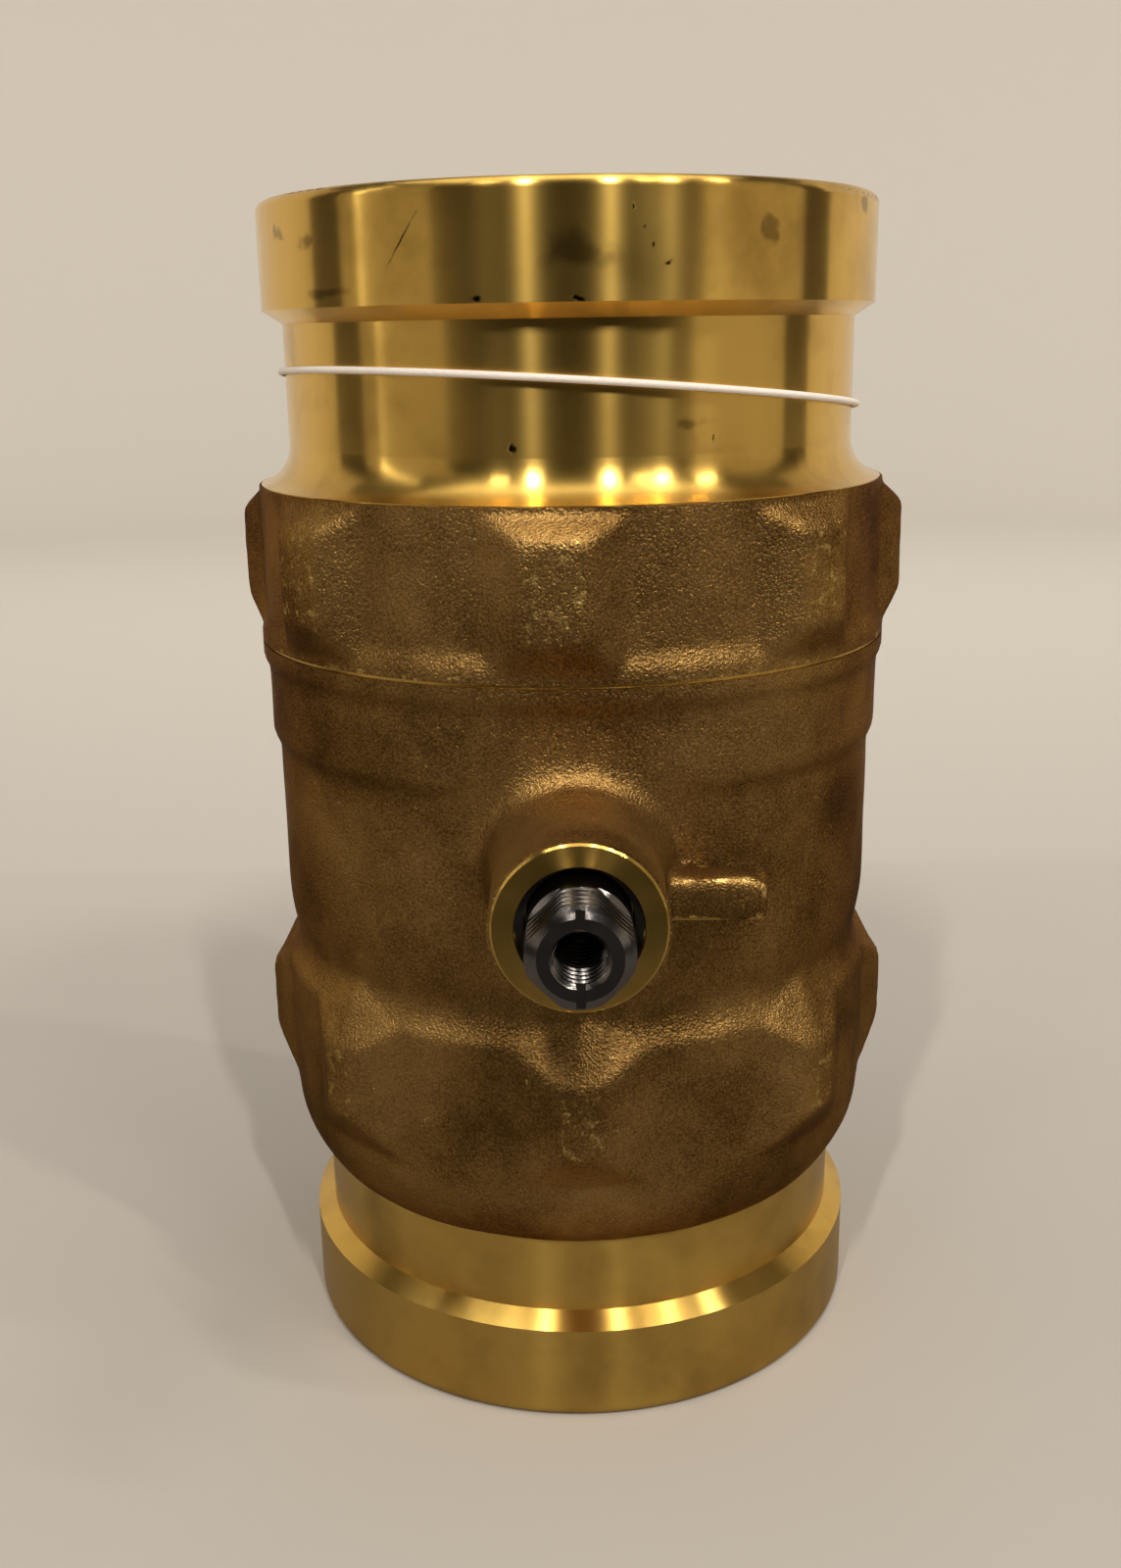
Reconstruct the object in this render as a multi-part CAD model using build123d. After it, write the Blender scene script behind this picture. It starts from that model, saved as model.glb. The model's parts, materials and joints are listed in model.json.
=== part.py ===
from build123d import *
import math
import os

# A press-fit ball valve for 3 inch copper tube. Two bronze castings, screwed together round a ball,
# carry a press socket at each end, and a bare squared stem stands out of a boss at the front.
# Millimetres, +Z up along the pipe, the stem towards -Y, the origin at the centre of the lower end.

# Press ends, the same at both ends
tube_od = 79.4
tube_clear = 0.3
socket_depth = 49.0
neck_wall = 4.5
groove_depth = 5.0
collar_wall = 2.5
mouth_lip = 2.0
mouth_chamfer = 0.8
collar_back = 3.05
collar_slope = 1.95
rim_round = 1.5

# Rings inside each press end
grip_width = 3.2
grip_teeth = 36
tooth_depth = 1.4
grip_split = 4.0
separator_width = 1.6
sealing_width = 7.0
sealing_round = 1.2
ring_gap = 0.15

# Ball, seats and the flow way
port_d = 60.0
ball_wall = 12.0
ball_lip = 1.0
seat_back = 2.66
seat_height = 6.5
seat_wall = 6.8
seat_clear = 0.3
seat_gap = 0.1
pocket_room = 1.0
stop_wall = 12.0

# Barrel of the valve body, with heights from the ball centre
cavity_clear = 1.2
barrel_wall = 5.2
band_step = 1.0
band_rise = 9.6
band_slope = 2.0
rim_step = 0.8
rim_height = 2.6
rim_slope = 1.2
seam_rise = 26.5
waist_depth = 1.1
waist_rise = 5.4
waist_length = 9.3

# Threaded joint of the two castings
thread_step = 1.4
thread_clear = 0.1
thread_lead = 1.0
spigot_rise = 14.0
relief_clear = 1.5
joint_ring_d = 1.9
joint_ring_depth = 2.0
joint_ring_drop = 1.8
joint_ring_room = 0.3

# Rings of wrench lugs
lug_count = 8
ring_step = 0.8
least_shoulder = 1.0
lug_height = 3.8
lug_half_width = 9.2
lug_round = 1.6
lug_blend = 3.0
lug_foot_slope = 1.76

# Lower ring, its foot above the lower end and its crown below the ball centre
cast_foot = 30.0
belly_height = 11.8
crown_drop = 28.0
lower_lug_slope = 1.24
gable_width = 0.9

# Upper ring, heights from the upper end or the seam
shoulder_drop = 41.3
flare_height = 5.85
upper_lug_drop = 1.3
upper_lug_slope = 0.9
upper_rim_height = 1.8
ledge_height = 2.6
upper_ring_clock = -3.0

# Boss, stop tab and stem, with reaches from the pipe axis
boss_d = 23.0
boss_reach = 72.4
boss_straight = 13.9
boss_flare = 4.4
face_edge = 0.3
stop_tab_length = 26.2
stop_tab_front = 52.5
stop_tab_tip = 4.2
stop_tab_height = 5.8
stop_tab_drop = 0.7
stop_tab_root = 17.25
stop_tab_sink = 1.0
chip_width = 1.6
chip_height = 2.24
chip_tilt = 35.0
chip_turn = 20.0
stem_d = 13.8
bore_clear = 0.06
stem_reach = 82.5
stem_round_proud = 1.7
square_width = 12.5
square_lead = 0.5
end_chamfer = 1.5
end_chamfer_length = 0.9
tapped_d = 6.65
tapped_depth = 14.0
tapped_mouth = 0.5
pointer_width = 1.2
pointer_depth = 0.7
dust_ring_wall = 1.2
dust_ring_width = 3.2
dust_ring_clear = 0.3
dust_ring_sink = 2.9
dust_ring_gap = 0.05
stem_collar_d = 19.2
stem_collar_height = 3.7
stem_collar_clear = 0.4
washer_height = 1.6
washer_gap = 0.05
pocket_floor = 1.6
stem_ring_d = 1.6
stem_ring_room = 0.05
stem_ring_first = 3.5
stem_ring_pitch = 4.5
tang_width = 9.0
tang_length = 15.0
tang_depth = 5.4
tang_clear = 0.15

# White elastic loop round the upper neck
elastic_d = 1.0
elastic_drop = 28.0
elastic_tilt = 5.27
elastic_turn = 42.3
elastic_clear = 0.05

# How far a cut runs past what it cuts
cut_over = 1.0

# Sizes that follow from those above
socket_r = tube_od / 2 + tube_clear
neck_r = socket_r + neck_wall
groove_r = socket_r + groove_depth
collar_r = groove_r + collar_wall
groove_width = grip_width + separator_width + sealing_width + 4 * ring_gap
collar_height = mouth_lip + groove_width + collar_back
port_r = port_d / 2
ball_r = port_r + ball_wall
ball_flat = math.sqrt(ball_r**2 - (port_r + ball_lip) ** 2)
seat_r = port_r + ball_lip + seat_wall
pocket_r = seat_r + seat_gap
seat_floor = ball_flat + seat_back
centre_z = socket_depth + stop_wall + seat_floor
overall = 2 * centre_z
cavity_r = ball_r + cavity_clear
barrel_r = cavity_r + barrel_wall
band_r = barrel_r + band_step
rim_r = band_r + rim_step
ring_r = max(barrel_r + ring_step, neck_r + least_shoulder)
ridge_r = ring_r + lug_height
thread_r = cavity_r + thread_step
spigot_r = thread_r - thread_clear
crown_z = centre_z - crown_drop
waist_r = barrel_r - waist_depth
waist_z = crown_z + waist_rise
seam_z = centre_z + seam_rise
spigot_z = centre_z + spigot_rise
shoulder_z = overall - shoulder_drop
stem_r = stem_d / 2
bore_r = stem_r + bore_clear
counterbore_r = stem_r + dust_ring_clear + dust_ring_wall + dust_ring_gap
washer_seat = barrel_r + pocket_floor
collar_top = washer_seat - washer_height - 2 * washer_gap
collar_bottom = collar_top - stem_collar_height
tang_end = ball_r - tang_depth
counterbore_reach = boss_reach - dust_ring_sink - dust_ring_width - dust_ring_gap

# Frame of the stem: its own Z runs out of the boss, its X is the valve's X and its Y the valve's Z
stem_frame = Location(Plane(origin=(0, 0, centre_z), x_dir=(1, 0, 0), z_dir=(0, -1, 0)))


def turned(*outline):
    """Turn a closed outline, given as edges in radius and height, about the Z axis."""
    return revolve(Plane.XZ * make_face(outline), Axis.Z)


def ring(inner, outer, low, high):
    """A plain ring between two radii and two heights."""
    return turned(Polyline((inner, low), (outer, low), (outer, high), (inner, high), close=True))


def upper(height):
    """Height above the lower end of a place that is measured down from the upper end."""
    return overall - height


def lower(height):
    """Height above the lower end, as given."""
    return height


def collar_outline(place):
    """Outer outline of a press end, from its mouth to its neck."""
    down = place(0) - place(1)
    return [
        Line((socket_r + mouth_chamfer, place(0)), (collar_r - rim_round, place(0))),
        TangentArc((collar_r, place(rim_round)), (collar_r - rim_round, place(0)), tangent=(0, down)),
        Polyline(
            (collar_r, place(rim_round)),
            (collar_r, place(collar_height - collar_slope)),
            (neck_r, place(collar_height)),
        ),
    ]


def socket_points(place):
    """Inner outline of a press end, from its tube stop out to its mouth, with the ring groove."""
    groove_end = mouth_lip + groove_width
    return [
        (port_r, place(socket_depth)),
        (socket_r, place(socket_depth)),
        (socket_r, place(groove_end)),
        (groove_r, place(groove_end)),
        (groove_r, place(mouth_lip)),
        (socket_r, place(mouth_lip)),
        (socket_r, place(mouth_chamfer)),
        (socket_r + mouth_chamfer, place(0)),
    ]


def lug_plan(clock):
    """Plan of a ring of lugs: blunt wedges that blend into the round wall."""
    foot_depth = math.sqrt(ring_r**2 - lug_half_width**2)
    wedge = make_face(
        Polyline(
            (0, -ridge_r),
            (lug_half_width, -foot_depth),
            (0, -ring_r / 2),
            (-lug_half_width, -foot_depth),
            close=True,
        )
    )
    plan = Circle(ring_r)
    for place in PolarLocations(0, lug_count):
        plan += place * wedge
    by_reach = plan.vertices().sort_by(lambda v: math.hypot(v.X, v.Y))
    plan = fillet(by_reach[-lug_count:], lug_round)
    feet = plan.vertices().filter_by(lambda v: abs(math.hypot(v.X, v.Y) - ring_r) < lug_height / 100)
    return Rot(0, 0, clock) * fillet(feet, lug_blend)


def between_lugs(clock, *outline):
    """What is cut from a turned ring to leave its lugs standing."""
    blank = turned(*outline)
    box = blank.bounding_box()
    prism = extrude(lug_plan(clock), box.size.Z + 2 * cut_over)
    return blank - Pos(0, 0, box.min.Z - cut_over) * prism


def lug_gable():
    """Low ridged roof that runs from the waist down onto one lug of the lower ring."""
    foot_x = lug_half_width * gable_width
    tip_r = ridge_r - lug_round / 2
    tip = (0, -tip_r, crown_z - lower_lug_slope * (tip_r - ring_r))
    top = (0, -waist_r, waist_z)
    root = (0, lug_height - waist_r, crown_z - lug_height)
    faces = []
    for side in (-1, 1):
        foot = (side * foot_x, -math.sqrt(ring_r**2 - foot_x**2), crown_z)
        for near, far in ((tip, top), (top, root), (root, tip)):
            faces.append(Face(Wire.make_polygon([near, far, foot])))
    return Solid(Shell(faces))


def boss():
    """Stem boss: a straight neck that flares into the barrel."""
    root = cavity_r
    flare_start = boss_reach - boss_straight
    return stem_frame * turned(
        Polyline(
            (boss_d / 2, flare_start),
            (boss_d / 2, boss_reach - face_edge),
            (boss_d / 2 - face_edge, boss_reach),
            (0, boss_reach),
            (0, root),
            (boss_d / 2 + boss_flare, root),
        ),
        TangentArc((boss_d / 2, flare_start), (boss_d / 2 + boss_flare, root), tangent=(0, -1)),
    )


def stop_tab():
    """Handle stop beside the boss: a tab that stands off the barrel, with a chipped corner."""
    root = math.sqrt(barrel_r**2 - boss_d**2 / 4) - stop_tab_sink
    plan = make_face(
        Polyline(
            (boss_d / 4, -root),
            (boss_d / 4, -stop_tab_front),
            (stop_tab_length, -stop_tab_front),
            (stop_tab_length, stop_tab_tip - stop_tab_front),
            (stop_tab_root, -root),
            close=True,
        )
    )
    tip = plan.vertices().sort_by(Axis.X)[-2:]
    top = centre_z - stop_tab_drop
    tab = Pos(0, 0, top - stop_tab_height) * extrude(fillet(tip, stop_tab_tip / 4), stop_tab_height)
    chip = Rot(0, chip_tilt, chip_turn) * Box(chip_width, 3 * stop_tab_tip, chip_height)
    return tab - Pos(stop_tab_length, -stop_tab_front, top) * chip


def valve_body():
    """Lower casting: press end, lower lug ring, barrel, stem boss and stop tab."""
    belly_top = cast_foot + belly_height
    lug_foot_r = ring_r - ring_step / 4
    band_z = centre_z + band_rise
    lug_r = ridge_r + lug_round
    lug_low = belly_top + lug_foot_slope * (lug_r - lug_foot_r)
    lug_high = crown_z - lower_lug_slope * (lug_r - ring_r)
    seat_z = centre_z - seat_floor
    pocket_z = seat_z + seat_height + pocket_room
    casting = turned(
        *collar_outline(lower),
        Line((neck_r, collar_height), (neck_r, cast_foot)),
        TangentArc((lug_foot_r, belly_top), (neck_r, cast_foot), tangent=(0, -1)),
        Polyline(
            (lug_foot_r, belly_top),
            (lug_r, lug_low),
            (lug_r, lug_high),
            (ring_r, crown_z),
        ),
        TangentArc((waist_r, waist_z), (ring_r, crown_z), tangent=(0, -1)),
        TangentArc((barrel_r, waist_z + waist_length), (waist_r, waist_z), tangent=(0, -1)),
        Polyline(
            (barrel_r, waist_z + waist_length),
            (barrel_r, band_z),
            (band_r, band_z + band_slope),
            (band_r, seam_z - rim_height - rim_slope),
            (rim_r, seam_z - rim_height),
            (rim_r, seam_z),
            (0, seam_z),
            (0, 0),
            (socket_r + mouth_chamfer, 0),
        ),
    )
    casting -= between_lugs(
        0,
        Polyline(
            (ring_r, belly_top - cut_over),
            (lug_r + cut_over, belly_top - cut_over),
            (lug_r + cut_over, crown_z),
            (ring_r, crown_z),
            close=True,
        ),
    )
    for place in PolarLocations(0, lug_count):
        casting += place * lug_gable()
    casting += boss()
    casting += stop_tab()
    casting -= turned(
        Polyline(
            (0, seam_z),
            (thread_r + thread_lead, seam_z),
            (thread_r, seam_z - thread_lead),
            (thread_r, spigot_z - 2 * thread_clear),
            (cavity_r, spigot_z - 2 * thread_clear),
            (cavity_r, pocket_z + cavity_r - pocket_r),
            (pocket_r, pocket_z),
            (pocket_r, seat_z),
            (port_r, seat_z),
            *socket_points(lower),
            (0, 0),
            close=True,
        )
    )
    casting -= stem_frame * ring(0, stem_collar_d / 2 + stem_collar_clear, tang_end, washer_seat)
    casting -= stem_frame * ring(0, bore_r, tang_end, boss_reach + cut_over)
    return casting - stem_frame * ring(0, counterbore_r, counterbore_reach, boss_reach + cut_over)


def tailpiece():
    """Upper casting: threaded spigot, upper lug ring and press end."""
    lug_r = ridge_r + lug_round
    rim_top = seam_z + upper_rim_height
    ledge_top = rim_top + ledge_height
    lug_top = shoulder_z - upper_lug_drop
    lug_high = lug_top - upper_lug_slope * (lug_r - ring_r)
    lug_low = rim_top + lug_foot_slope * (lug_r - rim_r)
    seat_z = centre_z + seat_floor
    pocket_z = seat_z - seat_height - pocket_room
    relief_r = math.sqrt((ball_r + relief_clear) ** 2 - spigot_rise**2)
    ring_top = seam_z - joint_ring_drop
    ring_low = ring_top - joint_ring_d - joint_ring_room
    casting = turned(
        *collar_outline(upper),
        Line((neck_r, upper(collar_height)), (neck_r, shoulder_z + flare_height)),
        TangentArc((neck_r, shoulder_z + flare_height), (ring_r, shoulder_z), tangent=(0, -1)),
        Polyline(
            (ring_r, shoulder_z),
            (ring_r, lug_top),
            (lug_r, lug_high),
            (lug_r, lug_low),
            (rim_r, rim_top),
            (rim_r, seam_z),
            (spigot_r, seam_z),
            (spigot_r, ring_top),
            (thread_r - joint_ring_depth, ring_top),
            (thread_r - joint_ring_depth, ring_low),
            (spigot_r, ring_low),
            (spigot_r, spigot_z + thread_lead),
            (spigot_r - thread_lead, spigot_z),
            (relief_r, spigot_z),
            (pocket_r, pocket_z),
            (pocket_r, seat_z),
            (port_r, seat_z),
            *socket_points(upper),
        ),
    )
    return casting - between_lugs(
        upper_ring_clock,
        Polyline(
            (rim_r, rim_top),
            (ring_r, ledge_top),
            (ring_r, lug_top),
            (lug_r + cut_over, lug_top),
            (lug_r + cut_over, rim_top),
            close=True,
        ),
    )


def ball():
    """Bored ball with flats at its port and a slot for the stem's tang."""
    width = 2 * ball_flat
    body = Sphere(ball_r) & Box(3 * ball_r, 3 * ball_r, width)
    body -= Cylinder(port_r, width + 2 * cut_over)
    slot = Box(3 * ball_r, 2 * (tang_depth + tang_clear), tang_width + 2 * tang_clear)
    return Pos(0, 0, centre_z) * (body - Pos(0, -ball_r, 0) * slot)


def seat(side):
    """Seat ring of one side of the ball, -1 for the lower and 1 for the upper one."""
    back = centre_z + side * seat_floor
    front = back - side * seat_height
    blank = ring(port_r + ball_lip, seat_r, min(back, front), max(back, front))
    return blank - Pos(0, 0, centre_z) * Sphere(ball_r + seat_clear)


def body_seal():
    """O-ring in the groove of the tailpiece's spigot."""
    section_r = joint_ring_d / 2
    middle = seam_z - joint_ring_drop - joint_ring_room / 2 - section_r
    return Pos(0, 0, middle) * Torus(thread_r - joint_ring_room / 6 - section_r, section_r)


def stem_ring_reach(number):
    """Reach of the middle of one of the two O-rings on the stem, counted from the outside."""
    return counterbore_reach - stem_ring_first - number * stem_ring_pitch


def stem_ring(number):
    """One of the two O-rings on the stem, counted from the outside."""
    section_r = stem_ring_d / 2
    middle = Pos(0, 0, stem_ring_reach(number))
    return stem_frame * middle * Torus(stem_r - stem_ring_room - section_r, section_r)


def stem():
    """Stem: tang, collar, ringed shaft and a threaded square end with a tapped hole."""
    shaft_end = boss_reach + stem_round_proud
    body = turned(
        Polyline(
            (0, collar_bottom),
            (stem_collar_d / 2, collar_bottom),
            (stem_collar_d / 2, collar_top),
            (stem_r, collar_top),
            (stem_r, stem_reach - end_chamfer_length),
            (stem_r - end_chamfer, stem_reach),
            (0, stem_reach),
            close=True,
        )
    )
    groove_width = stem_ring_d + 2 * stem_ring_room
    for number in range(2):
        middle = stem_ring_reach(number)
        inner = stem_r - stem_ring_d - 2 * stem_ring_room
        body -= ring(inner, stem_r + cut_over, middle - groove_width / 2, middle + groove_width / 2)
    outside = ring(0, stem_d, shaft_end, stem_reach + cut_over)
    square = Rot(0, 0, 45) * Box(square_width, square_width, 4 * stem_reach)
    lead = Cone(stem_r + square_lead, square_width / 2, stem_r + square_lead - square_width / 2)
    shoulder = Pos(0, 0, shaft_end + (stem_r + square_lead - square_width / 2) / 2) * lead
    body -= outside - square - shoulder
    tang = Box(tang_length, tang_width, collar_bottom - tang_end + cut_over)
    body += Pos(0, 0, (tang_end + collar_bottom + cut_over) / 2) * tang
    body -= turned(
        Polyline(
            (0, stem_reach - tapped_depth - tapped_d / 3),
            (tapped_d / 2, stem_reach - tapped_depth),
            (tapped_d / 2, stem_reach - tapped_mouth),
            (tapped_d / 2 + 2 * tapped_mouth, stem_reach + tapped_mouth),
            (0, stem_reach + tapped_mouth),
            close=True,
        )
    )
    body -= Pos(0, 0, stem_reach) * Box(pointer_width, 2 * stem_d, 2 * pointer_depth)
    return stem_frame * body


def thrust_washer():
    """Bearing washer between the stem's collar and the boss."""
    low = collar_top + washer_gap
    inner = stem_r + stem_collar_clear
    return stem_frame * ring(inner, stem_collar_d / 2 + stem_collar_clear / 2, low, low + washer_height)


def dust_ring():
    """Dark wiper ring that lies sunk in the mouth of the boss."""
    high = boss_reach - dust_ring_sink
    inner = stem_r + dust_ring_clear
    return stem_frame * ring(inner, inner + dust_ring_wall, high - dust_ring_width, high)


def grip_ring(place):
    """Split steel ring with teeth that bite the tube."""
    tip_r = socket_r + ring_gap
    points = []
    for tooth in range(grip_teeth):
        for half, radius in ((0.0, tip_r), (0.5, tip_r + tooth_depth)):
            angle = 2 * math.pi * (tooth + half) / grip_teeth
            points.append((radius * math.cos(angle), radius * math.sin(angle)))
    plan = Circle(groove_r - ring_gap) - make_face(Polyline(*points, close=True))
    plan -= Pos(0, groove_r) * Rectangle(grip_split, 4 * groove_depth)
    edges = [place(mouth_lip + ring_gap), place(mouth_lip + ring_gap + grip_width)]
    return Pos(0, 0, min(edges)) * extrude(plan, grip_width)


def separator_ring(place):
    """Thin ring that keeps the grip ring off the rubber."""
    start = mouth_lip + 2 * ring_gap + grip_width
    edges = sorted([place(start), place(start + separator_width)])
    return ring(socket_r + ring_gap, groove_r - ring_gap, *edges)


def sealing_ring(place):
    """Rubber ring that seals on the tube, rounded where the tube slides in."""
    start = mouth_lip + 3 * ring_gap + grip_width + separator_width
    edges = sorted([place(start), place(start + sealing_width)])
    blank = ring(socket_r + ring_gap, groove_r - ring_gap, *edges)
    inner_edges = blank.edges().filter_by(GeomType.CIRCLE).sort_by(SortBy.RADIUS)[:2]
    return fillet(inner_edges, sealing_round)


def tag_elastic():
    """Thin elastic loop that lies aslant round the upper neck."""
    radius = (neck_r + elastic_d / 2 + elastic_clear) / math.cos(math.radians(elastic_tilt))
    loop = Rot(0, 0, elastic_turn) * Rot(0, elastic_tilt, 0) * Torus(radius, elastic_d / 2)
    return Pos(0, 0, upper(elastic_drop)) * loop


nodes = {
    "valve_body": valve_body(),
    "tailpiece": tailpiece(),
    "ball": ball(),
    "lower_seat": seat(-1),
    "upper_seat": seat(1),
    "body_seal": body_seal(),
    "stem": stem(),
    "thrust_washer": thrust_washer(),
    "inner_stem_ring": stem_ring(1),
    "outer_stem_ring": stem_ring(0),
    "dust_ring": dust_ring(),
    "tag_elastic": tag_elastic(),
}
for end, place in (("lower", lower), ("upper", upper)):
    nodes[end + "_grip_ring"] = grip_ring(place)
    nodes[end + "_separator_ring"] = separator_ring(place)
    nodes[end + "_sealing_ring"] = sealing_ring(place)

os.makedirs("parts", exist_ok=True)
for name, shape in nodes.items():
    export_step(shape, f"parts/{name}.step")
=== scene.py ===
"""Looks of a press-fit ball valve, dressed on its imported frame.

Two bronze castings carry a grained cast skin over turned brass ends, a threaded dark steel stem stands in
the boss, and a white elastic loop lies round the upper neck. A round pale sweep, ceiling lamps and a softbox
make the studio, and cloth cards out of the picture darken what the metal reflects.
"""

from __future__ import annotations

import json
import logging
import math
from dataclasses import dataclass
from enum import Enum
from typing import Any

import bmesh
import bpy
from mathutils import Matrix, Vector, noise
from mathutils.bvhtree import BVHTree
from mathutils.interpolate import poly_3d_calc

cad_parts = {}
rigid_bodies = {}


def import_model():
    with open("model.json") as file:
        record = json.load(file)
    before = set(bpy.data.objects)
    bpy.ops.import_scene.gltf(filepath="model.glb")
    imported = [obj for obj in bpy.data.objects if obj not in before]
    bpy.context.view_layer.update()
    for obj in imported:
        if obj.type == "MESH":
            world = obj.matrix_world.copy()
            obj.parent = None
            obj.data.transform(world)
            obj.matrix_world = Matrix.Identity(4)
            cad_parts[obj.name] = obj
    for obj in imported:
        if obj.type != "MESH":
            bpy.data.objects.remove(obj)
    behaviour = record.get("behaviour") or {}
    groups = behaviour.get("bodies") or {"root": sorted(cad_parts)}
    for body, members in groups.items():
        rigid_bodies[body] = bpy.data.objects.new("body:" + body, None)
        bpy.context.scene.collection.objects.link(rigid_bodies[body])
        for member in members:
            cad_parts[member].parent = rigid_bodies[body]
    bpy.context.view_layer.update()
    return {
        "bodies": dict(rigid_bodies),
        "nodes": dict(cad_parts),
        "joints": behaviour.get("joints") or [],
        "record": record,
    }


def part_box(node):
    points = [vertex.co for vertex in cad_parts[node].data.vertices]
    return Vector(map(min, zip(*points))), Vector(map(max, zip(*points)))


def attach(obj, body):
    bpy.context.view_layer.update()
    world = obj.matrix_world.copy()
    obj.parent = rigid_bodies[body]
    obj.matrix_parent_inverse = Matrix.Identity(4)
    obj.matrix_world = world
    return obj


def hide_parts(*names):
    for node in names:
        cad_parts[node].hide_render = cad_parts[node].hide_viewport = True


LOG = logging.getLogger("press_fit_ball_valve")
MM = 0.001
JOIN_MM = 0.002


def linear(hex_colour: str) -> tuple[float, float, float, float]:
    """Turn an sRGB hex colour into linear light.

    Args:
        hex_colour: colour as #rrggbb.

    Returns:
        Linear red, green, blue and full alpha.
    """
    channels = []
    for start in (1, 3, 5):
        value = int(hex_colour[start:start + 2], 16) / 255
        channels.append(value / 12.92 if value <= 0.04045 else ((value + 0.055) / 1.055) ** 2.4)
    return (channels[0], channels[1], channels[2], 1.0)


def per_mm(size_mm: float) -> float:
    """Texture scale, in Object coordinates, whose features are about size_mm across."""
    return 1.0 / (size_mm * MM)


def add_node(
    tree: bpy.types.NodeTree,
    kind: str,
    settings: dict[str, Any] | None = None,
    inputs: dict[str | int, Any] | None = None,
) -> bpy.types.Node:
    """Add a shader node with its settings and links.

    Args:
        tree: node tree that takes the node.
        kind: type of the node.
        settings: attributes of the node.
        inputs: socket values by name or number; an output socket is linked.

    Returns:
        The new node.
    """
    node = tree.nodes.new(kind)
    for name, value in (settings or {}).items():
        setattr(node, name, value)
    for name, value in (inputs or {}).items():
        if isinstance(value, bpy.types.NodeSocket):
            tree.links.new(value, node.inputs[name])
        else:
            node.inputs[name].default_value = value
    return node


def select_only(piece: bpy.types.Object) -> None:
    """Deselect everything, then select one object and make it active.

    Args:
        piece: object to select.
    """
    bpy.ops.object.select_all(action="DESELECT")
    piece.select_set(True)
    bpy.context.view_layer.objects.active = piece


def copy_of_node(node: bpy.types.Object, name: str) -> bpy.types.Object:
    """Copy a frame node as a new piece with its triangles joined.

    Args:
        node: object of the frame node.
        name: name of the new piece.

    Returns:
        The new piece, with no parent and no material.
    """
    select_only(node)
    bpy.ops.object.duplicate()
    piece = bpy.context.view_layer.objects.active
    bpy.ops.object.parent_clear(type="CLEAR_KEEP_TRANSFORM")
    for key in list(piece.keys()):
        del piece[key]
    piece.name = name
    piece.data.name = name
    piece.data.materials.clear()
    bpy.ops.object.mode_set(mode="EDIT")
    bpy.ops.mesh.select_all(action="SELECT")
    bpy.ops.mesh.remove_doubles(threshold=JOIN_MM * MM)
    bpy.ops.mesh.mark_sharp(clear=True)
    bpy.ops.object.mode_set(mode="OBJECT")
    bpy.ops.mesh.customdata_custom_splitnormals_clear()
    bpy.ops.object.shade_smooth()
    return piece


def apply_modifier(piece: bpy.types.Object, kind: str, **settings: Any) -> None:
    """Add a modifier to a piece, set it up and apply it.

    Args:
        piece: object that takes the modifier.
        kind: type of the modifier.
        settings: attributes of the modifier.
    """
    select_only(piece)
    modifier = piece.modifiers.new(kind.title(), kind)
    for name, value in settings.items():
        setattr(modifier, name, value)
    bpy.ops.object.modifier_apply(modifier=modifier.name)


@dataclass(frozen=True)
class Mark:
    """A blemish on turned brass, as an oval laid on a round wall.

    Azimuth is measured from the stem's side towards the stop tab, in degrees; the rest is in mm.
    """

    azimuth: float
    height: float
    radius: float
    half_width: float
    half_height: float
    lean: float = 0.0
    least_depth: float = 2.0

    def mapping(self) -> dict[str, Any]:
        """Place, turn and size of the oval.

        Returns:
            Values by socket of a Mapping node.
        """
        angle = math.radians(self.azimuth)
        place = (self.radius * math.sin(angle), -self.radius * math.cos(angle), self.height)
        depth = max(self.half_width, self.half_height, self.least_depth)
        return {
            "Location": [value * MM for value in place],
            "Rotation": (0.0, math.radians(self.lean), angle),
            "Scale": (self.half_width * MM, depth * MM, self.half_height * MM),
        }


COLLAR_R = 47.5
NECK_R = 44.5
STAINS = (
    Mark(-59.5, 178.7, COLLAR_R, 2.3, 1.7),
    Mark(-48.9, 177.2, COLLAR_R, 2.8, 1.6),
    Mark(-44.1, 170.4, COLLAR_R, 5.0, 1.0),
    Mark(34.0, 177.1, COLLAR_R, 2.1, 2.2),
    Mark(62.0, 181.5, COLLAR_R, 3.0, 1.6),
    Mark(20.3, 152.7, NECK_R, 3.7, 1.2),
    Mark(1.3, 174.4, COLLAR_R, 5.5, 3.6),
)
NICKS = (
    Mark(10.0, 180.0, COLLAR_R, 0.30, 0.62, 8.0),
    Mark(11.7, 177.5, COLLAR_R, 0.28, 0.50, 8.0),
    Mark(13.1, 175.3, COLLAR_R, 0.32, 0.62, 8.0),
    Mark(15.5, 173.1, COLLAR_R, 0.62, 0.45, 0.0),
    Mark(-10.1, 149.8, NECK_R, 0.85, 0.90, 0.0),
    Mark(1.1, 169.0, COLLAR_R, 1.00, 0.45, 30.0),
    Mark(-14.9, 169.0, COLLAR_R, 0.80, 0.45, 0.0),
    Mark(25.7, 150.5, NECK_R, 0.22, 0.70, 0.0),
    Mark(-27.7, 176.3, COLLAR_R, 0.16, 5.00, 36.0),
)


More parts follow.
